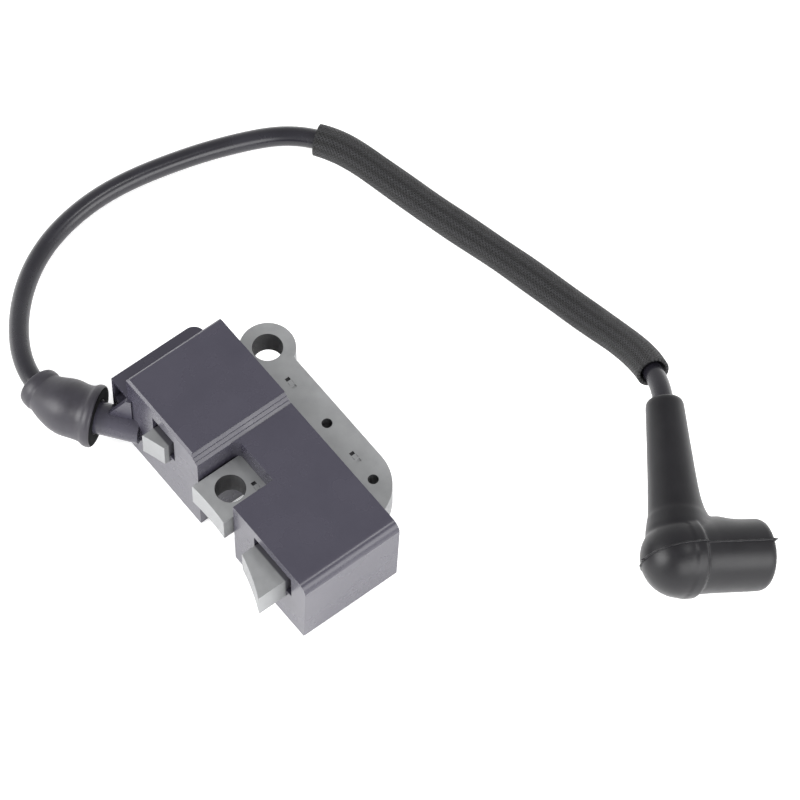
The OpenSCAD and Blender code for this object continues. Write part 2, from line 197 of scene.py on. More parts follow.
def piece(name: str, points: np.ndarray, faces: Sequence[Any], finish: "Finish",
          uv: np.ndarray | None = None, smooth: bool = True) -> bpy.types.Object:
    """Makes a piece from points in millimetres, dressed and riding on the only body.

    Args:
        name: the piece's name.
        points: one row of X, Y and Z per point.
        faces: arrays of corner numbers, one row per face.
        finish: what it is made of.
        uv: one row of U and V per point.
        smooth: shades the faces smooth.

    Returns:
        The new object, at the origin.
    """
    lists = [f for block in faces for f in np.asarray(block, int).tolist()]
    mesh = bpy.data.meshes.new(name)
    mesh.from_pydata((np.asarray(points, float) * MM).tolist(), [], lists)
    if uv is not None:
        corner = np.zeros(len(mesh.loops), np.int32)
        mesh.loops.foreach_get("vertex_index", corner)
        layer = mesh.uv_layers.new(name="UVMap")
        layer.data.foreach_set("uv", np.asarray(uv, float)[corner].astype(np.float32).ravel())
    mesh.polygons.foreach_set("use_smooth", [smooth] * len(mesh.polygons))
    mesh.update()
    return placed(name, mesh, finish)


def placed(name: str, mesh: bpy.types.Mesh, finish: "Finish") -> bpy.types.Object:
    """Links a mesh as an object, gives it its finish and lets it ride on the body.

    Args:
        name: the piece's name.
        mesh: the piece's mesh.
        finish: what it is made of.

    Returns:
        The new object.
    """
    obj = bpy.data.objects.new(name, mesh)
    bpy.context.scene.collection.objects.link(obj)
    mesh.materials.clear()
    mesh.materials.append(finish.material())
    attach(obj, ROOT)
    LOG.info("piece %s: %d faces, %s", name, len(mesh.polygons), finish.name)
    return obj


def outward(obj: bpy.types.Object) -> None:
    """Turns every face of a closed mesh outwards.

    Args:
        obj: the mesh's object.
    """
    bm = bmesh.new()
    bm.from_mesh(obj.data)
    bmesh.ops.recalc_face_normals(bm, faces=bm.faces)
    bm.to_mesh(obj.data)
    bm.free()


def merge(mesh: bpy.types.Mesh, distance: float, flat: float = 0.0) -> None:
    """Merges the points of a mesh that lie nearly at one place.

    Args:
        mesh: the mesh to change.
        distance: points closer than this become one.
        flat: edges where the surface turns by less than this many degrees go away.
    """
    bm = bmesh.new()
    bm.from_mesh(mesh)
    bmesh.ops.remove_doubles(bm, verts=bm.verts, dist=distance * MM)
    if flat > 0:
        bmesh.ops.dissolve_limit(bm, angle_limit=math.radians(flat), verts=bm.verts,
                                 edges=bm.edges)
    bm.to_mesh(mesh)
    bm.free()


def settle(obj: bpy.types.Object) -> None:
    """Replaces a mesh by what its modifiers make of it, and removes them.

    Args:
        obj: the mesh's object.
    """
    graph = bpy.context.evaluated_depsgraph_get()
    mesh = bpy.data.meshes.new_from_object(obj.evaluated_get(graph), depsgraph=graph)
    obj.modifiers.clear()
    obj.data = mesh


# ---- Finishes ----

# The blocks' front and back faces, the core's middle, and how far from it both outer legs
# have begun.
FRONT_Y, BACK_Y, CORE_X, OUTER_LEGS_X = -15.2, 12.6, 5.35, 12
# Height of the middle of the lowest sheet's edge.
SHEET_MIDDLE = 14.45
# Height of a pattern beside that of the fine grain.
PATTERN_RISE = 4.0
# Colour of the painted shade on the outer legs inside the blocks' pockets.
POCKET_SHADE_GREY = "#55545a"


class Pattern(Enum):
    """What a finish draws over its plain colour."""

    GRAIN = "fine moulded grain"
    SHEETS = "edges of stacked sheets"
    TURNS = "turns of fine wire"
    WEAVE = "woven threads along a tube"
    CLOTH = "woven glass under resin"


@dataclass(frozen=True)
class Finish:
    """One finish: its colours, gloss and surface, with every scale in millimetres."""

    name: str
    slot: str
    light: str
    dark: str
    roughness: float
    metallic: float = 0.0
    ior: float = 1.5
    grain_mm: float = 0.3
    mottle_mm: float = 9.0
    bump_mm: float = 0.02
    bump: float = 0.25
    spread: float = 0.12
    coat: float = 0.0
    coat_roughness: float = 0.2
    pattern: Pattern = Pattern.GRAIN
    pitch_mm: float = 0.5
    axis: int = 2
    # Paints shade on the outer legs inside the blocks, for the shade in their pockets.
    pocket_shade: bool = False
    _made: dict[str, bpy.types.Material] = field(default_factory=dict, compare=False, repr=False)

    def material(self) -> bpy.types.Material:
        """The finish's own material, made the first time that it is asked for."""
        if "one" not in self._made:
            self._made["one"] = self._build()
        return self._made["one"]

    def _build(self) -> bpy.types.Material:
        """Builds the node tree: mottled colour, uneven gloss and a fine bump.

        A slow noise of mottle_mm moves the colour between dark and light and the roughness
        by spread, and a fine noise of grain_mm lifts the surface by bump_mm. The pattern
        then multiplies the colour by a grey and adds its own height.

        Returns:
            The new material.
        """
        material = bpy.data.materials.new(self.name)
        material.use_nodes = True
        tree = material.node_tree
        tree.nodes.clear()
        place = add(tree, "TexCoord").outputs["Object"]
        slow = add(tree, "TexNoise", {"Vector": place, "Scale": 1 / (self.mottle_mm * MM),
                                      "Detail": 4.0, "Roughness": 0.62}).outputs["Fac"]
        fine = add(tree, "TexNoise", {"Vector": place, "Scale": 1 / (self.grain_mm * MM),
                                      "Detail": 3.0, "Roughness": 0.6}).outputs["Fac"]
        blend = add(tree, "MapRange", {"Value": slow, "From Min": 0.22, "From Max": 0.78}
                    ).outputs["Result"]
        colour = add(tree, "Mix", {0: blend, 6: linear(self.dark), 7: linear(self.light)},
                     data_type="RGBA").outputs[2]
        height = fine
        drawn = self._pattern(tree, place)
        if drawn is not None:
            shade, low, high, lift = drawn
            grey = add(tree, "Mix", {0: shade, 6: (low, low, low, 1),
                                     7: (high, high, high, 1)}, data_type="RGBA").outputs[2]
            colour = add(tree, "Mix", {0: 1.0, 6: colour, 7: grey}, data_type="RGBA",
                         blend_type="MULTIPLY").outputs[2]
            height = add(tree, "Math", {0: lift, 1: PATTERN_RISE, 2: fine},
                         operation="MULTIPLY_ADD").outputs["Value"]
        # Painted shade: the outer legs inside the blocks turn dark grey, for the shade in the
        # pockets over them.
        if self.pocket_shade:
            colour = add(tree, "Mix", {0: self._inside_blocks(tree, place), 6: colour,
                                       7: linear(POCKET_SHADE_GREY)}, data_type="RGBA").outputs[2]
        gloss = add(tree, "MapRange", {"Value": slow, "From Min": 0.22, "From Max": 0.78,
                                       "To Min": max(0.03, self.roughness - self.spread),
                                       "To Max": min(1.0, self.roughness + self.spread)}
                    ).outputs["Result"]
        rise = add(tree, "Bump", {"Height": height, "Strength": self.bump,
                                  "Distance": self.bump_mm * MM}).outputs["Normal"]
        shader = add(tree, "BsdfPrincipled", {
            "Base Color": colour, "Roughness": gloss, "Metallic": self.metallic,
            "IOR": self.ior, "Normal": rise, "Coat Weight": self.coat,
            "Coat Roughness": self.coat_roughness})
        add(tree, "OutputMaterial", {"Surface": shader.outputs["BSDF"]})
        return material

    def _inside_blocks(self, tree: bpy.types.NodeTree, place: bpy.types.NodeSocket
                       ) -> bpy.types.NodeSocket:
        """Where painted shade covers the steel, for the shade in the blocks' pockets: the outer
        legs, behind the blocks' front faces and in front of their backs.

        Args:
            tree: the node tree.
            place: object coordinates.

        Returns:
            1 there and 0 elsewhere.
        """
        split = add(tree, "SeparateXYZ", {"Vector": place})
        behind = add(tree, "MapRange", {"Value": split.outputs["Y"],
                                        "From Min": (FRONT_Y - 0.3) * MM,
                                        "From Max": (FRONT_Y + 0.1) * MM}).outputs["Result"]
        before = add(tree, "Math", {0: split.outputs["Y"], 1: BACK_Y * MM},
                     operation="LESS_THAN").outputs["Value"]
        off = add(tree, "Math", {0: split.outputs["X"], 1: CORE_X * MM},
                  operation="SUBTRACT").outputs["Value"]
        far = add(tree, "Math", {0: off}, operation="ABSOLUTE").outputs["Value"]
        outer = add(tree, "Math", {0: far, 1: OUTER_LEGS_X * MM},
                    operation="GREATER_THAN").outputs["Value"]
        both = add(tree, "Math", {0: behind, 1: before}, operation="MULTIPLY").outputs["Value"]
        return add(tree, "Math", {0: both, 1: outer}, operation="MULTIPLY").outputs["Value"]

    def _wave(self, tree: bpy.types.NodeTree, along: bpy.types.NodeSocket, pitch: float,
              shift: float = 0.0) -> bpy.types.NodeSocket:
        """Smooth wave from 0 to 1: half of one plus the sine.

        Args:
            tree: the node tree.
            along: the coordinate that the wave runs along.
            pitch: length of one wave.
            shift: angle added before the sine.

        Returns:
            The wave's value.
        """
        angle = add(tree, "Math", {0: along, 1: 2 * math.pi / pitch, 2: shift},
                    operation="MULTIPLY_ADD").outputs["Value"]
        wave = add(tree, "Math", {0: angle}, operation="SINE").outputs["Value"]
        return add(tree, "Math", {0: wave, 1: 0.5, 2: 0.5}, operation="MULTIPLY_ADD"
                   ).outputs["Value"]

    def _pattern(self, tree: bpy.types.NodeTree, place: bpy.types.NodeSocket
                 ) -> tuple[bpy.types.NodeSocket, float, float, bpy.types.NodeSocket] | None:
        """What the pattern does to the colour and the height.

        Sheets are a sharpened wave along Z, shown on upright faces alone. Turns are a wave
        along one axis. A weave is two families of threads that lean either way along the
        tube's own UV map, of which each shows where the other dips. Cloth is a product of
        waves along X and Y.

        Args:
            tree: the node tree.
            place: object coordinates.

        Returns:
            Shade from 0 to 1, the greys that multiply the colour at both ends of it, and the
            pattern's height, or None for plain grain.
        """
        if self.pattern is Pattern.GRAIN:
            return None
        split = add(tree, "SeparateXYZ", {"Vector": place})
        pitch = self.pitch_mm * MM
        if self.pattern is Pattern.SHEETS:
            wave = self._wave(tree, split.outputs["Z"], pitch,
                              math.pi / 2 - 2 * math.pi * SHEET_MIDDLE / self.pitch_mm)
            line = add(tree, "Math", {0: wave, 1: 0.35}, operation="POWER").outputs["Value"]
            normal = add(tree, "NewGeometry").outputs["Normal"]
            up = add(tree, "SeparateXYZ", {"Vector": normal}).outputs["Z"]
            flat = add(tree, "Math", {0: up}, operation="ABSOLUTE").outputs["Value"]
            shown = add(tree, "Math", {0: flat, 1: line}, operation="MAXIMUM").outputs["Value"]
            return shown, 0.55, 1.0, shown
        if self.pattern is Pattern.TURNS:
            wave = self._wave(tree, split.outputs[self.axis], pitch)
            return wave, 0.55, 1.1, wave
        if self.pattern is Pattern.CLOTH:
            warp = self._wave(tree, split.outputs["X"], pitch)
            weft = self._wave(tree, split.outputs["Y"], pitch)
            both = add(tree, "Math", {0: warp, 1: weft}, operation="MULTIPLY").outputs["Value"]
            return both, 0.85, 1.1, both
        uv = add(tree, "UVMap", uv_map="UVMap").outputs["UV"]
        tube = add(tree, "SeparateXYZ", {"Vector": uv})
        along, around = tube.outputs["X"], tube.outputs["Y"]
        lean = add(tree, "Math", {0: around, 1: 1.0, 2: along},
                   operation="MULTIPLY_ADD").outputs["Value"]
        back = add(tree, "Math", {0: around, 1: -1.0, 2: along},
                   operation="MULTIPLY_ADD").outputs["Value"]
        one = self._wave(tree, lean, self.pitch_mm)
        two = self._wave(tree, back, self.pitch_mm, math.pi / 2)
        top = add(tree, "Math", {0: one, 1: two}, operation="MAXIMUM").outputs["Value"]
        rows = self._wave(tree, around, self.pitch_mm * 2)
        knit = add(tree, "Math", {0: top, 1: rows}, operation="MULTIPLY").outputs["Value"]
        return knit, 0.5, 2.4, top


# Injection-moulded nylon with glass fibre: dark, satin, with a soft violet cast in its gloss.
CASE_NYLON = Finish("MouldedGlassFilledNylon", "case_nylon", "#403e49", "#3a3843", 0.27,
                    grain_mm=0.35, mottle_mm=14, bump_mm=0.008, bump=0.2, spread=0.05)
# Silicon-steel sheets, blanked and stacked: pale grey, half dull, with the sheets' edges showing.
# Its outer legs inside the blocks take a painted shade of dark grey.
CORE_STEEL = Finish("BlankedElectricalSteel", "core_steel", "#a3a4a5", "#919293", 0.5, 0.5,
                    grain_mm=0.5, mottle_mm=5, bump_mm=0.02, bump=0.35, spread=0.1,
                    pattern=Pattern.SHEETS, pocket_shade=True)
# The same sheets on the holes' walls and the lances' first end pits: rougher, and painted dark as
# shade in these recesses.
HOLE_SHADE_STEEL = Finish("PaintedShadeSteelEdge", "core_steel", "#3d3d3f", "#2c2c2e", 0.6, 0.4,
                       grain_mm=0.4, mottle_mm=3, bump_mm=0.04, bump=0.5,
                       pattern=Pattern.SHEETS)
# Two-part epoxy poured into the blocks: nearly black, glossy, level but for a few ripples.
POTTING = Finish("PouredBlackEpoxy", "potting_epoxy", "#17181a", "#0f1011", 0.16,
                 grain_mm=3.5, mottle_mm=8, bump_mm=0.15, bump=0.25, spread=0.06, coat=0.4)
# Moulded polyester bobbins: ivory, a little waxy.
BOBBIN = Finish("MouldedPolyesterIvory", "bobbin_plastic", "#e4dcc4", "#d8cfb4", 0.45,
                grain_mm=0.4)
# Copper wire under clear enamel: orange brown and glossy. A turn is drawn 0.3 mm wide.
WINDING_WIRE = Finish("EnamelledCopperWire", "enamelled_copper", "#b4622c", "#8f4519", 0.3,
                      0.8, grain_mm=0.6, bump_mm=0.06, bump=0.8, pattern=Pattern.TURNS,
                      pitch_mm=0.3, axis=1)
# Glass-cloth laminate under green resist: the cloth shows as a faint check of 0.6 mm.
BOARD = Finish("GreenGlassLaminate", "board_laminate", "#2f6b3c", "#24552f", 0.3,
               pattern=Pattern.CLOTH, pitch_mm=0.6, bump_mm=0.02)
# Dipped film capacitor: dull brick red lacquer.
CAPACITOR = Finish("DippedFilmLacquer", "capacitor_film", "#8c3a25", "#742c1a", 0.35,
                   grain_mm=0.8, bump_mm=0.05)
# Transfer-moulded epoxy package: matt black.
PACKAGE = Finish("MouldedEpoxyPackage", "package_epoxy", "#1e1e20", "#161618", 0.55,
                 grain_mm=0.2)
# Resistor lacquer: pale blue and half gloss.
RESISTOR = Finish("ResistorLacquer", "resistor_coat", "#7fa3b8", "#6b8fa6", 0.4, grain_mm=0.3)
# Tin-plated brass: bright grey with a warm cast.
BRASS = Finish("TinnedBrass", "tinned_brass", "#c9c3b2", "#b7ae96", 0.28, 1.0, grain_mm=0.5,
               bump_mm=0.01)
# Compression-moulded rubber of the plug boot: black, satin, a little uneven.
BOOT_RUBBER = Finish("MouldedBootRubber", "boot_rubber", "#141317", "#0d0c10", 0.38, ior=1.42,
                     grain_mm=0.45, mottle_mm=6, bump_mm=0.02, bump=0.35, spread=0.07)
# Softer rubber of the tower boot, greyer where it is dusty.
GROMMET_RUBBER = Finish("MouldedGrommetRubber", "grommet_rubber", "#34323a", "#29272d", 0.42,
                        grain_mm=0.5, mottle_mm=5, bump_mm=0.03, bump=0.4, spread=0.08)
# The boot's open end, which faces the block and gets little light: a matt, near-black copy of the
# rubber, painted as shade.
SHADED_BOOT_END = Finish("PaintedShadeBootEnd", "boot_end_rubber", "#0b0b0d", "#070708", 0.9, ior=1.25,
                  grain_mm=0.5, bump_mm=0.02, bump=0.3)
# Extruded jacket of the high-tension lead: dark blue-grey with a long soft highlight.
JACKET = Finish("ExtrudedLeadJacket", "lead_jacket", "#232229", "#19181e", 0.26,
                grain_mm=0.8, mottle_mm=12, bump_mm=0.012, bump=0.3, spread=0.06)
# Braided glass sleeve with a coat of acrylic: a thread is 0.35 mm and is drawn 0.8 mm wide.
SLEEVE = Finish("BraidedGlassSleeve", "sleeve_weave", "#1d1d1f", "#151517", 0.6,
                grain_mm=0.5, mottle_mm=5, bump_mm=0.16, bump=0.85, spread=0.1,
                pattern=Pattern.WEAVE, pitch_mm=1.0)
# Tinned copper strands of the conductor, 0.3 mm each.
STRANDS = Finish("TwistedCopperStrands", "copper_strand", "#c47a46", "#a85f30", 0.3, 1.0,
                 pattern=Pattern.TURNS, pitch_mm=0.4, axis=0, bump_mm=0.05)
# Drawn spring wire with a dull zinc coat.
SPRING_WIRE = Finish("DrawnSpringWire", "spring_steel", "#a8a9ac", "#8f9094", 0.32, 1.0,
                     grain_mm=0.3, bump_mm=0.01)


# ---- Core ----

@dataclass
class CoreStack:
    """Laminated E core: three legs, a yoke and a mounting ring, from stacked sheets."""

    bottom: float = 14.2
    sheets: int = 15
    sheet_t: float = 0.5
    groove: float = 0.07
    bevelled: float = 0.12
    leg_coil: tuple[float, float] = (-19.2, -13.1)
    leg_centre: tuple[float, float] = (-0.9, 11.6)
    leg_charge: tuple[float, float] = (20.8, 32.7)
    yoke: tuple[float, float] = (13.0, 23.0)
    corner_r: float = 12.7
    rim_centre: tuple[float, float] = (5.35, -83.2)
    rim_r: float = 66.0
    setback: float = 3.1
    lug: tuple[float, float] = (-20.3, 19.6)
    lug_r: float = 6.9
    screws: tuple[tuple[float, float], ...] = ((5.1, -10.6), (-20.3, 19.6))
    screw_r: float = 3.7
    fixtures: tuple[tuple[float, float], ...] = ((5.0, 18.2), (23.8, 17.6))
    fixture_r: float = 1.25
    lances: tuple[tuple[float, float], ...] = ((-9.1, 18.1), (16.4, 17.9), (8.6, -5.4))
    lance_size: tuple[float, float, float] = (3.6, 1.2, 0.3)

    def arc(self, centre: Sequence[float], radius: float, start: float, end: float,
            count: int) -> np.ndarray:
        """Points on an arc: the centre, plus the radius times cosine and sine of the angle.

        Args:
            centre: X and Y of the centre.
            radius: the arc's radius.
            start: first angle in degrees.
            end: last angle in degrees.
            count: number of points.

        Returns:
            One row of X and Y per point.
        """
        a = np.radians(np.linspace(start, end, count))
        return np.stack([centre[0] + radius * np.cos(a), centre[1] + radius * np.sin(a)], -1)

    def circle(self, centre: Sequence[float], radius: float, count: int) -> np.ndarray:
        """Hole's outline, turning right so that the steel is on its left."""
        return self.arc(centre, radius, 0, 360 / count - 360, count)

    def pole(self, leg: tuple[float, float], radius: float) -> np.ndarray:
        """Pole face of a leg, from its left to its right: Y is where the rim's circle is.

        Args:
            leg: the leg's lowest and highest X.
            radius: radius of the circle.

        Returns:
            One row of X and Y per point.
        """
        x = np.linspace(leg[0], leg[1], 17)
        y = self.rim_centre[1] + np.sqrt(radius ** 2 - (x - self.rim_centre[0]) ** 2)
        return np.stack([x, y], -1)

    def outline(self) -> np.ndarray:
        """Outer edge seen from above, turning left all the way round.

        It runs up the charge leg, round the yoke's big corner, along its back, round the
        mounting ring, and down and up the other two legs.

        Returns:
            One row of X and Y per point.
        """
        top, low = self.yoke[1], self.yoke[0]
        rise = math.degrees(math.asin((top - self.lug[1]) / self.lug_r))
        fall = 360 - math.degrees(math.acos((self.leg_coil[0] - self.lug[0]) / self.lug_r))
        corner = (self.leg_charge[1] - self.corner_r, top - self.corner_r)
        return np.concatenate([
            self.pole(self.leg_charge, self.rim_r),
            self.arc(corner, self.corner_r, 0, 90, 33),
            self.arc(self.lug, self.lug_r, rise, fall, 49),
            self.pole(self.leg_coil, self.rim_r + self.setback),
            [[self.leg_coil[1], low], [self.leg_centre[0], low]],
            self.pole(self.leg_centre, self.rim_r),
            [[self.leg_centre[1], low], [self.leg_charge[0], low]]])

    def inset(self, loop: np.ndarray, amount: float) -> np.ndarray:
        """A loop moved to its left: each point goes along the mean of its two edges' left
        normals, further where they turn.

        Args:
            loop: the loop's points.
            amount: how far its edges move.

        Returns:
            The moved points.
        """
        ahead = unit(np.roll(loop, -1, 0) - loop) @ LEFT_TURN
        behind = unit(loop - np.roll(loop, 1, 0)) @ LEFT_TURN
        mean = unit(ahead + behind)
        turn = np.maximum(np.sum(mean * ahead, -1, keepdims=True), 0.5)
        return loop + amount * mean / turn

    def walls(self, loop: np.ndarray) -> tuple[np.ndarray, int]:
        """Wall of stacked sheets: the loop is moved into the steel by the groove where two
        sheets meet, and comes out again over the bevelled part of a sheet's thickness.

        Args:
            loop: outline with the steel on its left.

        Returns:
            Points, from the bottom ring to the top one, and the number of rings.
        """
        i = np.arange(self.sheets)[:, None]
        levels = np.array([0.0, self.bevelled, 1 - self.bevelled])
        z = (self.bottom + (i + levels) * self.sheet_t).ravel()
        depth = np.tile([1.0, 0.0, 0.0], self.sheets) * self.groove
        z = np.append(z, self.bottom + self.sheets * self.sheet_t)
        depth = np.append(depth, self.groove)
        inner = self.inset(loop, 1.0) - loop
        xy = loop[None] + depth[:, None, None] * inner[None]
        return np.concatenate([xy, np.broadcast_to(z[:, None, None], xy.shape[:2] + (1,))],
                              -1).reshape(-1, 3), len(z)

    def pits(self) -> list[np.ndarray]:
        """Outlines of the lances' pits: a rectangle at each end of a lance, then a narrow
        slot along each side of it.

        Returns:
            One loop of four points per pit, all the end pits first.
        """
        w, d, _ = self.lance_size
        square = np.array([[-1, -1], [-1, 1], [1, 1], [1, -1]]) / 2
        ends = [np.array(c) + [side * (w - d) / 2, 0] + square * [d * 0.75, d]
                for c in self.lances for side in (-1, 1)]
        slots = [np.array(c) + [0, side * d / 2] + square * [w - 2.2 * d, 0.1]
                 for c in self.lances for side in (-1, 1)]
        return ends + slots

    def build(self) -> bpy.types.Object:
        """Builds the stack: a wall per loop, two caps with holes, and shallow lance pits.

        Returns:
            The piece that stands for the core.
        """
        outer = self.outline()
        holes = [self.circle(c, self.screw_r, 48) for c in self.screws]
        holes += [self.circle(c, self.fixture_r, 24) for c in self.fixtures]
        pits = self.pits()
        mesh = Patches()
        for loop in [outer, *holes]:
            wall, rows = self.walls(loop)
            mesh.take(wall, quads(rows, len(loop)))
        top = self.bottom + self.sheets * self.sheet_t
        edges = [self.inset(loop, self.groove) for loop in [outer, *holes]]
        above, triangles = self.cap(edges + pits)
        mesh.take(np.column_stack([above, np.full(len(above), top)]), triangles)
        below, triangles = self.cap(edges)
        mesh.take(np.column_stack([below, np.full(len(below), self.bottom)]),
                  triangles[:, ::-1])
        for pit in pits:
            low = self.inset(pit, -0.1)
            mesh.take(np.column_stack([np.concatenate([pit, low]),
                                       np.repeat([top, top - self.lance_size[2]], 4)]),
                      quads(2, 4)[:, ::-1], np.array([[7, 6, 5, 4]]))
        core = piece("core_laminations", np.concatenate(mesh.points), mesh.faces, CORE_STEEL,
                     smooth=False)
        self.darken(core, [len(patch) for patch in mesh.faces], len(holes))
        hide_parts("core_stack")
        return core

    def darken(self, core: bpy.types.Object, sizes: Sequence[int], holes: int) -> None:
        """Gives the walls of the holes, and each lance's first end pit, the steel with painted
        shade.

        Args:
            core: the core's piece.
            sizes: number of faces in each of its patches.
            holes: number of holes, whose walls follow the outline's wall.
        """
        # Painted shade: the holes' walls and each lance's first end pit take a dark grey steel.
        core.data.materials.append(HOLE_SHADE_STEEL.material())
        first_pit = 3 + holes
        shaded_faces = np.zeros(len(sizes), np.int32)
        shaded_faces[1:1 + holes] = 1
        for lance in range(len(self.lances)):
            at = first_pit + 4 * lance
            shaded_faces[at:at + 2] = 1
        core.data.polygons.foreach_set("material_index", np.repeat(shaded_faces, sizes))

    def cap(self, loops: Sequence[np.ndarray]) -> tuple[np.ndarray, np.ndarray]:
        """Triangles between the first loop and the others, which are holes in it.

        Args:
            loops: the outer edge, then the holes.

        Returns:
            Points in the plane, and triangles that turn left.
        """
        flat = np.concatenate(loops)
        edges: list[tuple[int, int]] = []
        start = 0
        for loop in loops:
            n = np.arange(len(loop))
            edges += list(zip((start + n).tolist(), (start + (n + 1) % len(n)).tolist()))
            start += len(loop)
        found = delaunay_2d_cdt([Vector(p) for p in flat.tolist()], edges, [], 1, 1e-5)
        xy = np.array([list(v) for v in found[0]])
        tri = np.array(found[2])
        middle = xy[tri].mean(1)
        keep = np.ones(len(tri), bool)
        for hole in loops[1:]:
            box = np.all((middle > hole.min(0)) & (middle < hole.max(0)), -1)
            if len(hole) > 4:
                centre = (hole.min(0) + hole.max(0)) / 2
                box &= np.linalg.norm(middle - centre, axis=-1) < (hole.max(0) - centre).min()
            keep &= ~box
        return xy, tri[keep]


# ---- Moulded blocks ----

@dataclass
class MouldedBlock:
    """A moulded block of the CAD part, with its sharp edges softened as a mould leaves them."""

    node: str
    name: str
    radius: float = 0.22
    merge_distance: float = 0.002
    flat_angle: float = 0.6
    round_angle: float = 28.0
    sharp_angle: float = 50.0
    face_weight: int = 75

    def build(self) -> bpy.types.Object:
        """Copies the CAD node's shape, merges it and rounds every sharp edge.

        Returns:
            The piece that stands for the node.
        """
        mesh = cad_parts[self.node].data.copy()
        merge(mesh, self.merge_distance, self.flat_angle)
        mesh.name = self.name
        mesh.polygons.foreach_set("use_smooth", [True] * len(mesh.polygons))
        block = placed(self.name, mesh, CASE_NYLON)
        bevel = block.modifiers.new("mould_radius", "BEVEL")
        bevel.width, bevel.segments = self.radius * MM, 2
        bevel.limit_method, bevel.angle_limit = "ANGLE", math.radians(self.round_angle)
        bevel.use_clamp_overlap = True
        settle(block)
        block.data.set_sharp_from_angle(angle=math.radians(self.sharp_angle))
        even = block.modifiers.new("flat_faces", "WEIGHTED_NORMAL")
        even.weight, even.keep_sharp = self.face_weight, True
        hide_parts(self.node)
        return block


# ---- Lead ----

# Direction from the tower's tip back to the block.
TO_BLOCK = np.array([0.8, 0.6, 0.0])


@dataclass
class LeadRoute:
    """Centreline of the lead: a uniform cubic B-spline through listed control points."""

    control: tuple[tuple[float, float, float], ...] = (
        (-29, -15.7, 10), (-37, -21.7, 10), (-45, -26, 9.5), (-53.5, -27, 9),
        (-62, -24.5, 8), (-70, -19.5, 6), (-77, -13.5, 4), (-83, -6, 3), (-87, 2.5, 2.6),
        (-89, 11.5, 2.6), (-89.5, 20.5, 2.6), (-88.5, 29.5, 2.6), (-86.5, 38.5, 2.6),
        (-84, 47.5, 2.6), (-80.5, 56.5, 2.8), (-76, 65, 3.6), (-69.5, 71.5, 4.1),
        (-61.5, 75.5, 4.2), (-52.5, 77.5, 4.2), (-43.5, 79.5, 4.2), (-34.5, 81.5, 4.1),
        (-26, 83.7, 4.1), (-17, 86, 4.1), (-8, 88.2, 4.1), (1, 90, 4.3), (10, 91.5, 5),
        (18.5, 92.5, 7), (27, 93, 10), (35.5, 92.3, 13.5), (43.5, 89.7, 16.5),
        (51, 84.8, 17.9), (58.5, 79.7, 17.5), (66, 74.7, 17.1), (73.4, 69.7, 16.6))

    @property
    def last(self) -> float:
        """Parameter of the far end."""
        return len(self.control) - 1.0

    def at(self, t: np.ndarray) -> np.ndarray:
        """Points of the line: the four nearest control points, weighed by the cubic
        B-spline's basis. It is carried straight on past its two end points.

        Args:
            t: parameters, of which a whole number is near a control point.

        Returns:
            One row of X, Y and Z per parameter.
        """
        c = np.array(self.control, float)
        c = np.concatenate([[2 * c[0] - c[1]], c, [2 * c[-1] - c[-2]]])
        t = np.asarray(t, float)
        i = np.clip(np.floor(t).astype(int), 0, len(self.control) - 2)
        u = (t - i)[:, None]
        w = [(1 - u) ** 3, 3 * u ** 3 - 6 * u ** 2 + 4, -3 * u ** 3 + 3 * u ** 2 + 3 * u + 1,
             u ** 3]
        return sum(w[k] * c[i + k] for k in range(4)) / 6

    def tube(self, t: np.ndarray, radius: np.ndarray, sides: int) -> np.ndarray:
        """Rings of points round the line, each square to it with its first point level.

        Args:
            t: the rings' parameters.
            radius: one radius per ring, or one row of radii per ring.
            sides: points in a ring.

        Returns:
            One row per point, ring by ring.
        """
        ahead = unit(self.at(t + 0.01) - self.at(t - 0.01))
        side = unit(np.cross(ahead, [0.0, 0.0, 1.0]))
        return rings(self.at(t), side, np.cross(side, ahead), radius, sides)

    def even(self, start: float, end: float, step: float) -> np.ndarray:
        """Parameters that lie a fixed distance apart along the line.

        Args:
            start: first parameter.
            end: last parameter.
            step: distance wanted between them, of which a whole number is fitted in.

        Returns:
            The parameters, both ends among them.
        """
        t = np.linspace(start, end, 4000)
        run = self.run(t)
        return np.interp(np.linspace(0, run[-1], max(2, round(run[-1] / step) + 1)), run, t)

    def run(self, t: np.ndarray) -> np.ndarray:
        """Distance along the line at each parameter, from the first one."""
        steps = np.linalg.norm(np.diff(self.at(t), axis=0), axis=-1)
        return np.append(0, np.cumsum(steps))


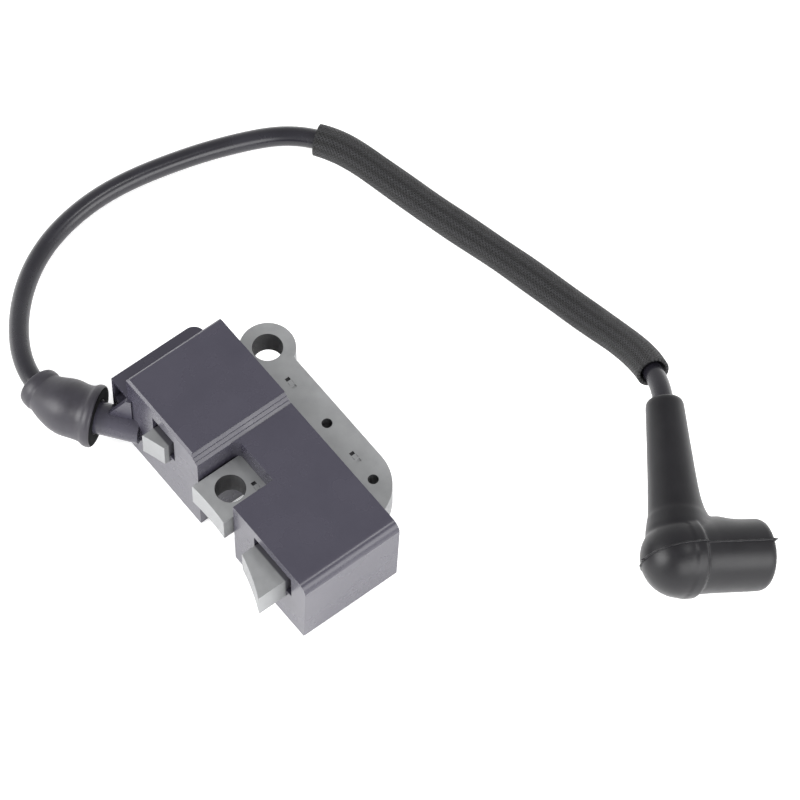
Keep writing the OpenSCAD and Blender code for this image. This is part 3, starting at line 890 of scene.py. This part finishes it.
@dataclass
class HighTensionLead:
    """The lead: jacket, woven sleeve and the boot on the tower."""

    route: LeadRoute = field(default_factory=LeadRoute)
    diameter: float = 5.0
    sides: int = 28
    step: float = 0.7
    sleeve_span: tuple[float, float] = (16.05, 28.4)
    sleeve_r: float = 4.0
    threads: float = 24.0
    fine_sides: int = 72
    exit: tuple[float, float, float] = (-38.92, -23.14, 10.0)
    boot_outside: tuple[tuple[float, float], ...] = (
        (0.79, 4.4), (0.78, 5.4), (0.78, 6.5), (0.79, 7.35), (0.83, 7.75), (0.9, 7.85),
        (0.98, 7.7), (1.06, 7.2), (1.16, 6.95), (1.34, 6.95), (1.5, 7.1), (1.66, 7.1),
        (1.82, 6.9), (1.98, 6.55), (2.14, 6.1), (2.28, 5.7), (2.4, 5.35), (2.46, 5.2),
        (2.5, 5.3), (2.56, 5.45), (2.7, 5.4), (2.79, 5.2), (2.82, 4.7), (2.8, 3.6))
    boot_inside: tuple[tuple[float, float], ...] = (
        (2.72, 2.62), (1.62, 2.62), (1.6, 3.95), (1.1, 3.95), (0.86, 4.05))

    def jacket(self) -> tuple[bpy.types.Object, np.ndarray]:
        """Jacket: a plain round tube with flat ends.

        Returns:
            The jacket, and the points of the line that it follows.
        """
        t = self.route.even(0, self.route.last, self.step)
        points = self.route.tube(t, np.full(len(t), self.diameter / 2), self.sides)
        lead = piece("high_tension_lead",
                     np.concatenate([points, self.route.at(t[[0, -1]])]),
                     capped(len(t), self.sides), JACKET)
        outward(lead)
        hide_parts("hv_lead")
        return lead, self.route.at(t)

    def sleeve(self) -> bpy.types.Object:
        """Braided sleeve: a loose woven tube.

        The radius is the sleeve's own with a slow waviness along it and round it, and it
        closes in to the jacket at both cut ends. V counts whole threads round the tube, and
        U counts millimetres along it.

        Returns:
            The sleeve.
        """
        t = self.route.even(*self.sleeve_span, 0.42)
        run = self.route.run(t)
        sides, width = self.fine_sides, self.fine_sides + 1
        around = np.arange(width) / sides * self.threads
        u = run[:, None] * np.ones(width)
        v = np.ones(len(t))[:, None] * around[None]
        turn = 2 * np.pi * v / self.threads
        lie = 0.05 * np.cos(turn + 0.9) + 0.03 * np.cos(2 * turn)
        slow = (np.sin(0.31 * run) + np.sin(0.173 * run + 1.1))[:, None] * 0.04
        radius = self.sleeve_r + 0.02 + lie + slow
        first = self.route.tube(t, radius[:, :-1], sides).reshape(len(t), sides, 3)
        skin = np.concatenate([first, first[:, :1]], 1)
        end_t = np.concatenate([t[:1], t[:1], t[:1] + 0.25, t[-1:] - 0.25, t[-1:], t[-1:]])
        end_r = np.array([3.75, 3.3, 2.75, 2.75, 3.3, 3.75])
        lips = self.route.tube(end_t, end_r, sides).reshape(6, sides, 3)
        lips = np.concatenate([lips, lips[:, :1]], 1)
        rows = np.concatenate([lips[2::-1], skin, lips[:2:-1]])
        uv = np.zeros((len(rows), width, 2))
        uv[3:-3, :, 0], uv[3:-3, :, 1] = u, v
        uv[:3, :, 1] = uv[-3:, :, 1] = around
        uv[-3:, :, 0] = run[-1]
        woven = piece("braided_sleeve", rows.reshape(-1, 3),
                      [quads(len(rows), width, loop_cols=False)[:, ::-1]], SLEEVE,
                      uv.reshape(-1, 2))
        merge(woven.data, 0.01)
        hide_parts("lead_sleeve")
        return woven

    def tower_boot(self) -> bpy.types.Object:
        """Boot on the tower: a profile turned round the lead's own line.

        The outer radius runs from a rolled rim over a full belly to a narrow neck that ends
        in a bead, and a second skin runs back inside it, so the rim shows its depth.

        Returns:
            The boot.
        """
        stations = np.array(self.boot_outside + self.boot_inside)
        count, sides = len(stations) * 4, self.fine_sides
        loop = np.concatenate([stations, stations[:1]])
        at, whole = np.arange(count) / 4, np.arange(len(loop))
        t, r = np.interp(at, whole, loop[:, 0]), np.interp(at, whole, loop[:, 1])
        points = self.route.tube(t, r, sides)
        boot = piece("tower_boot_moulded", points, [quads(count, sides, loop_rows=True)],
                     GROMMET_RUBBER)
        smooth = boot.modifiers.new("soft_profile", "SMOOTH")
        smooth.factor, smooth.iterations = 0.5, 5
        settle(boot)
        outward(boot)
        # Painted shade: faces turned to the block take the matt, near-black copy of the rubber.
        boot.data.materials.append(SHADED_BOOT_END.material())
        normal = np.zeros(len(boot.data.polygons) * 3)
        boot.data.polygons.foreach_get("normal", normal)
        facing = normal.reshape(-1, 3) @ TO_BLOCK > 0.8
        boot.data.polygons.foreach_set("material_index", facing.astype(np.int32))
        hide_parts("tower_boot")
        return boot


# ---- Plug boot ----

@dataclass
class PlugBoot:
    """Elbow boot: tapered stem, round elbow with a step, and a socket for the plug."""

    elbow: tuple[float, float, float] = (82.4, 63.7, 22 * math.sin(math.radians(21))
                                         + 8.7 * math.cos(math.radians(21)) + 0.1)
    stem_turn: tuple[float, float] = (146.1, 2.8)
    socket_turn: tuple[float, float] = (66.5, -21.0)
    dome_r: float = 9.5
    ring_r: float = 9.75
    ring_end: float = 3.0
    socket_r: float = 8.7
    reach: float = 22.0
    bore_r: float = 5.5
    bore_depth: float = 11.0
    chamber_r: float = 4.6
    lead_r: float = 2.45
    voxel: float = 0.36
    corner_out: float = 12.5
    corner_move: float = 2.2
    corner_spread: float = 3.0

    def turned(self, turn: Sequence[float], profile: np.ndarray, sides: int
               ) -> tuple[np.ndarray, list[np.ndarray]]:
        """Solid of revolution about an axis through the elbow's centre.

        Each row of the profile is a ring at its distance along the axis, and a fan closes
        each end.

        Args:
            turn: heading and pitch of the axis.
            profile: rows of distance and radius, from one end to the other.
            sides: points round the axis.

        Returns:
            Points and faces.
        """
        axis = aim(turn)
        side = unit(np.cross(axis, [0.0, 0.0, 1.0]))
        line = np.array(self.elbow) + profile[:, :1] * axis
        body = rings(line, side, np.cross(side, axis), profile[:, 1], sides)
        return np.concatenate([body, line[[0, -1]]]), capped(len(line), sides)

    def solid(self, name: str, parts: Sequence[tuple[Sequence[float], Any]], sides: int = 64
              ) -> bpy.types.Object:
        """One object from several solids of revolution, each with its faces outward.

        Args:
            name: the object's name.
            parts: heading and pitch of the axis, and profile, of each solid.
            sides: points round each axis.

        Returns:
            The object, dressed as the boot.
        """
        mesh = Patches()
        for turn, profile in parts:
            points, faces = self.turned(turn, np.array(profile, float), sides)
            mesh.take(points, *faces)
        obj = piece(name, np.concatenate(mesh.points), mesh.faces, BOOT_RUBBER)
        outward(obj)
        return obj

    def across(self) -> np.ndarray:
        """Unit vector at right angles to both the socket's axis and the stem's."""
        along, stem = aim(self.socket_turn), aim(self.stem_turn)
        return np.cross(along, unit(stem - (stem @ along) * along))

    def flash(self) -> tuple[np.ndarray, np.ndarray]:
        """Centre line and radius of the mould's flash bead.

        It runs in the plane through the socket's axis that is square to the stem: along one
        side of the socket, round the dome's far end and back along the other side.

        Returns:
            Points of the line, and the bead's radius at each.
        """
        along, across, c = aim(self.socket_turn), self.across(), np.array(self.elbow)
        d = np.linspace(self.reach - 0.4, self.ring_end + 0.2, 44)
        ring = np.linspace(self.ring_end - 0.1, 0, 8)
        a = np.linspace(90, 180, 40)[1:]
        reach = np.concatenate([d, ring, self.dome_r * np.cos(np.radians(a))])
        out = np.concatenate([np.full(len(d), self.socket_r), np.full(len(ring), self.ring_r),
                              self.dome_r * np.sin(np.radians(a))])
        one = c + reach[:, None] * along + out[:, None] * across
        two = c + reach[:, None] * along - out[:, None] * across
        line = np.concatenate([one, two[::-1][1:]])
        n = np.arange(len(line))
        return line, 0.26 + 0.06 * np.sin(0.9 * n) + 0.04 * np.sin(2.3 * n + 1)

    def bead(self, line: np.ndarray, radius: np.ndarray, sides: int = 8
             ) -> tuple[np.ndarray, list[np.ndarray]]:
        """Closed bead along a line, of rings that are square to it.

        Args:
            line: points of the line.
            radius: one radius per point.
            sides: points in a ring.

        Returns:
            Points and faces.
        """
        ahead = unit(np.gradient(line, axis=0))
        up = unit(np.cross(ahead, aim(self.stem_turn)))
        body = rings(line, np.cross(up, ahead), up, radius, sides)
        return np.concatenate([body, line[[0, -1]]]), capped(len(line), sides)

    def build(self) -> bpy.types.Object:
        """Moulds the boot as one skin: the turned solids run together and their corners are
        smoothed, then the bores are cut.

        Returns:
            The piece that stands for the plug boot.
        """
        a = np.radians(np.linspace(180, 90, 24))
        dome = np.stack([self.dome_r * np.cos(a), self.dome_r * np.sin(a) + 0.001], -1)
        socket = [[0, self.ring_r], [self.ring_end - 0.5, self.ring_r],
                  [self.ring_end, self.ring_r - 0.35], [self.ring_end + 0.1, self.socket_r],
                  [self.reach - 1.6, self.socket_r - 0.05],
                  [self.reach - 0.7, self.socket_r - 0.3],
                  [self.reach - 0.2, self.socket_r - 0.8], [self.reach, self.socket_r - 1.6]]
        stem = [[0, 7.4], [6, 7.2], [9, 6.95], [12, 6.55], [20, 5.9], [30, 5.25], [39.5, 4.7],
                [40.4, 4.62], [41.2, 4.3], [41.6, 3.7]]
        stem_foot = [[3, 8.0], [7, 7.6], [10, 7.0], [12, 6.4]]
        socket_foot = [[self.ring_end, 8.9], [6, 8.75], [9, 8.6]]
        body = self.solid("plug_boot_moulded", [
            (self.socket_turn, np.concatenate([dome, socket])), (self.stem_turn, stem),
            (self.stem_turn, stem_foot), (self.socket_turn, socket_foot)])
        remesh = body.modifiers.new("one_skin", "REMESH")
        remesh.mode, remesh.voxel_size = "VOXEL", self.voxel * MM
        smooth = body.modifiers.new("soft_corners", "SMOOTH")
        smooth.factor, smooth.iterations = 0.5, 4
        settle(body)
        self.fillet(body)
        self.bore(body)
        body.data.polygons.foreach_set("use_smooth", [True] * len(body.data.polygons))
        body.data.set_sharp_from_angle(angle=math.radians(50))
        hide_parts("plug_boot")
        return body

    def bore(self, body: bpy.types.Object) -> None:
        """Cuts the socket's bore with its chamber, and the bore that the lead goes into.

        Args:
            body: the boot's skin.
        """
        floor = self.reach - self.bore_depth
        socket = [[0, self.chamber_r], [floor, self.chamber_r], [floor + 0.02, self.bore_r],
                  [self.reach - 0.6, self.bore_r], [self.reach + 1, self.bore_r + 1.2]]
        stem = [[1, self.lead_r], [43, self.lead_r]]
        for cutter in (self.solid("bore_tool", [(self.socket_turn, socket)], 48),
                       self.solid("lead_tool", [(self.stem_turn, stem)], 32)):
            cut = body.modifiers.new("bore", "BOOLEAN")
            cut.operation, cut.object, cut.solver = "DIFFERENCE", cutter, "EXACT"
            settle(body)
            bpy.data.objects.remove(cutter)

    def fillet(self, body: bpy.types.Object) -> None:
        """Rounds the inner corner between stem and socket.

        A point moves away from the elbow by corner_move, times a bell curve of its distance
        from the corner's middle, of which corner_spread is the width.

        Args:
            body: the boot's skin.
        """
        mesh = body.data
        co = np.zeros(len(mesh.vertices) * 3)
        mesh.vertices.foreach_get("co", co)
        p = co.reshape(-1, 3) / MM
        along, stem = aim(self.socket_turn), aim(self.stem_turn)
        away = unit(along + stem)
        middle = np.array(self.elbow) + self.corner_out * away
        near = np.exp(-np.sum((p - middle) ** 2, -1) / (2 * self.corner_spread ** 2))
        p = p + self.corner_move * near[:, None] * away
        mesh.vertices.foreach_set("co", (p * MM).ravel())
        mesh.update()

    def flash_bead(self) -> bpy.types.Object:
        """The mould's flash: one thin bead and two small nibs, as a piece of its own.

        Returns:
            The bead.
        """
        along, across, c = aim(self.socket_turn), self.across(), np.array(self.elbow)
        nib = np.linspace(0, 1, 5)[:, None]
        far = c - (self.dome_r - 0.3) * along - nib * 1.1 * along
        rim = (c + (self.reach - 0.9) * along + (self.socket_r - 0.1) * across
               + nib * (0.9 * along + 0.5 * across))
        mesh = Patches()
        for line, radius in (self.flash(), (far, np.array([0.45, 0.4, 0.32, 0.22, 0.08])),
                             (rim, np.array([0.4, 0.4, 0.32, 0.22, 0.08]))):
            points, faces = self.bead(line, radius)
            mesh.take(points, *faces)
        bead = piece("plug_boot_flash", np.concatenate(mesh.points), mesh.faces, BOOT_RUBBER)
        outward(bead)
        return bead


# ---- Carried-over nodes, studio and main ----

@dataclass
class DressedNodes:
    """CAD nodes whose shape stays as it is and which only take a finish."""

    finishes: dict[str, Finish] = field(default_factory=lambda: {
        "core_stack": CORE_STEEL, "coil_case": CASE_NYLON, "module_case": CASE_NYLON,
        "coil_potting": POTTING, "module_potting": POTTING, "primary_bobbin": BOBBIN,
        "secondary_bobbin": BOBBIN, "charge_bobbin": BOBBIN, "primary_winding": WINDING_WIRE,
        "secondary_winding": WINDING_WIRE, "charge_winding": WINDING_WIRE,
        "trigger_winding": WINDING_WIRE, "circuit_board": BOARD,
        "charge_capacitor": CAPACITOR, "thyristor": PACKAGE, "diodes": PACKAGE,
        "resistors": RESISTOR, "hv_pin": BRASS, "ground_tab": BRASS, "stop_terminal": BRASS,
        "tower_boot": GROMMET_RUBBER, "hv_lead": JACKET, "lead_conductor": STRANDS,
        "lead_sleeve": GROMMET_RUBBER, "plug_boot": BOOT_RUBBER, "plug_spring": SPRING_WIRE})

    def dress(self) -> None:
        """Assigns each node its finish."""
        for name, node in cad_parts.items():
            node.data.materials.clear()
            node.data.materials.append(self.finishes[name].material())
            LOG.info("node %s: %s", name, self.finishes[name].name)


@dataclass
class Studio:
    """Pale table, soft lights and the camera."""

    target: tuple[float, float, float] = (6.28, 39.19, 12.0)
    azimuth: float = 52.23
    elevation: float = 60.41
    distance: float = 1300.0
    lens: float = 243.2
    horizon: float = 1.25
    zenith: float = 0.5
    table_glow: float = 0.42
    lamps: tuple[tuple[str, tuple[float, float, float], float, float], ...] = (
        ("front_left", (-0.5, -1.35, 0.85), 1.0, 22.0),
        ("front_right", (1.35, -0.45, 0.85), 1.0, 12.0),
        ("edge", (1.55, 0.54, 0.7), 1.1, 15.0),
        ("steps", (0.46, 0.6, 1.84), 0.35, 4.5))

    def camera(self) -> None:
        """Puts the camera at its distance from the target, back along its line of sight.

        The sight's heading is the azimuth turned left from +Y, and it falls by the
        elevation.
        """
        a, e = math.radians(self.azimuth), math.radians(self.elevation)
        sight = Vector((-math.sin(a) * math.cos(e), math.cos(a) * math.cos(e), -math.sin(e)))
        data = bpy.data.cameras.new("camera")
        data.lens, data.sensor_width = self.lens, 36.0
        data.clip_start, data.clip_end = 0.01, 20.0
        camera = bpy.data.objects.new("camera", data)
        camera.location = (Vector(self.target) - self.distance * sight) * MM
        camera.rotation_euler = sight.to_track_quat("-Z", "Y").to_euler()
        bpy.context.scene.collection.objects.link(camera)
        bpy.context.scene.camera = camera

    def table(self) -> None:
        """Level pale table, far wider than the view, under everything."""
        paper = bpy.data.materials.new("MattWhitePaper")
        paper.use_nodes = True
        tree = paper.node_tree
        tree.nodes.clear()
        place = add(tree, "TexCoord").outputs["Object"]
        fibre = add(tree, "TexNoise", {"Vector": place, "Scale": 400.0, "Detail": 2.0})
        tone = add(tree, "Mix", {0: fibre.outputs["Fac"], 6: linear("#fbfbfb"),
                                 7: linear("#ffffff")}, data_type="RGBA")
        shader = add(tree, "BsdfPrincipled", {"Base Color": tone.outputs[2],
                                              "Roughness": 0.9, "Specular IOR Level": 0.1,
                                              "Emission Color": (1, 1, 1, 1),
                                              "Emission Strength": self.table_glow})
        add(tree, "OutputMaterial", {"Surface": shader.outputs["BSDF"]})
        mesh = bpy.data.meshes.new("table")
        x = np.linspace(-2.5, 2.5, 9)
        grid = np.stack([*np.meshgrid(x, x), np.full((9, 9), -0.0001)], -1).reshape(-1, 3)
        mesh.from_pydata(grid.tolist(), [], quads(9, 9, loop_cols=False).tolist())
        mesh.materials.append(paper)
        table = bpy.data.objects.new("table", mesh)
        bpy.context.scene.collection.objects.link(table)

    def lamp(self, name: str, place: Sequence[float], size: float, watts: float) -> None:
        """Square soft lamp that faces the object.

        Args:
            name: the lamp's name.
            place: where it stands, in metres.
            size: length of its side, in metres.
            watts: its power.
        """
        data = bpy.data.lights.new(name, "AREA")
        data.shape, data.size, data.energy = "SQUARE", size, watts
        lamp = bpy.data.objects.new(name, data)
        lamp.location = place
        lamp.rotation_euler = (-Vector(place)).to_track_quat("-Z", "Y").to_euler()
        bpy.context.scene.collection.objects.link(lamp)

    def light(self) -> None:
        """Surroundings that are bright at the horizon and dim overhead, and soft lamps.

        Three low lamps make upright faces lighter than level ones, and a small high one is
        for the tall block's stepped edge.
        """
        world = bpy.data.worlds.new("studio")
        world.use_nodes = True
        tree = world.node_tree
        tree.nodes.clear()
        up = add(tree, "SeparateXYZ", {"Vector": add(tree, "TexCoord").outputs["Generated"]})
        glow = add(tree, "MapRange", {"Value": up.outputs["Z"], "From Min": 0.05,
                                      "From Max": 0.85, "To Min": self.horizon,
                                      "To Max": self.zenith})
        back = add(tree, "Background", {"Color": (1, 1, 1, 1),
                                        "Strength": glow.outputs["Result"]})
        add(tree, "OutputWorld", {"Surface": back.outputs["Background"]})
        bpy.context.scene.world = world
        bpy.context.scene.view_settings.view_transform = "Standard"
        for settings in self.lamps:
            self.lamp(*settings)

    def build(self) -> None:
        """Sets up the whole studio."""
        self.camera()
        self.table()
        self.light()


def main() -> None:
    """Builds the coil's pieces in order."""
    Studio().build()
    DressedNodes().dress()
    lead = HighTensionLead()
    jacket, line = lead.jacket()
    sleeve, tower = lead.sleeve(), lead.tower_boot()
    plug = PlugBoot()
    boot, bead = plug.build(), plug.flash_bead()
    CoreStack().build()
    MouldedBlock("coil_case", "tall_block_moulded").build()
    MouldedBlock("module_case", "low_block_moulded").build()


if __name__ == "__main__":
    logging.basicConfig(level=logging.INFO, format="%(name)s %(message)s")
    main()
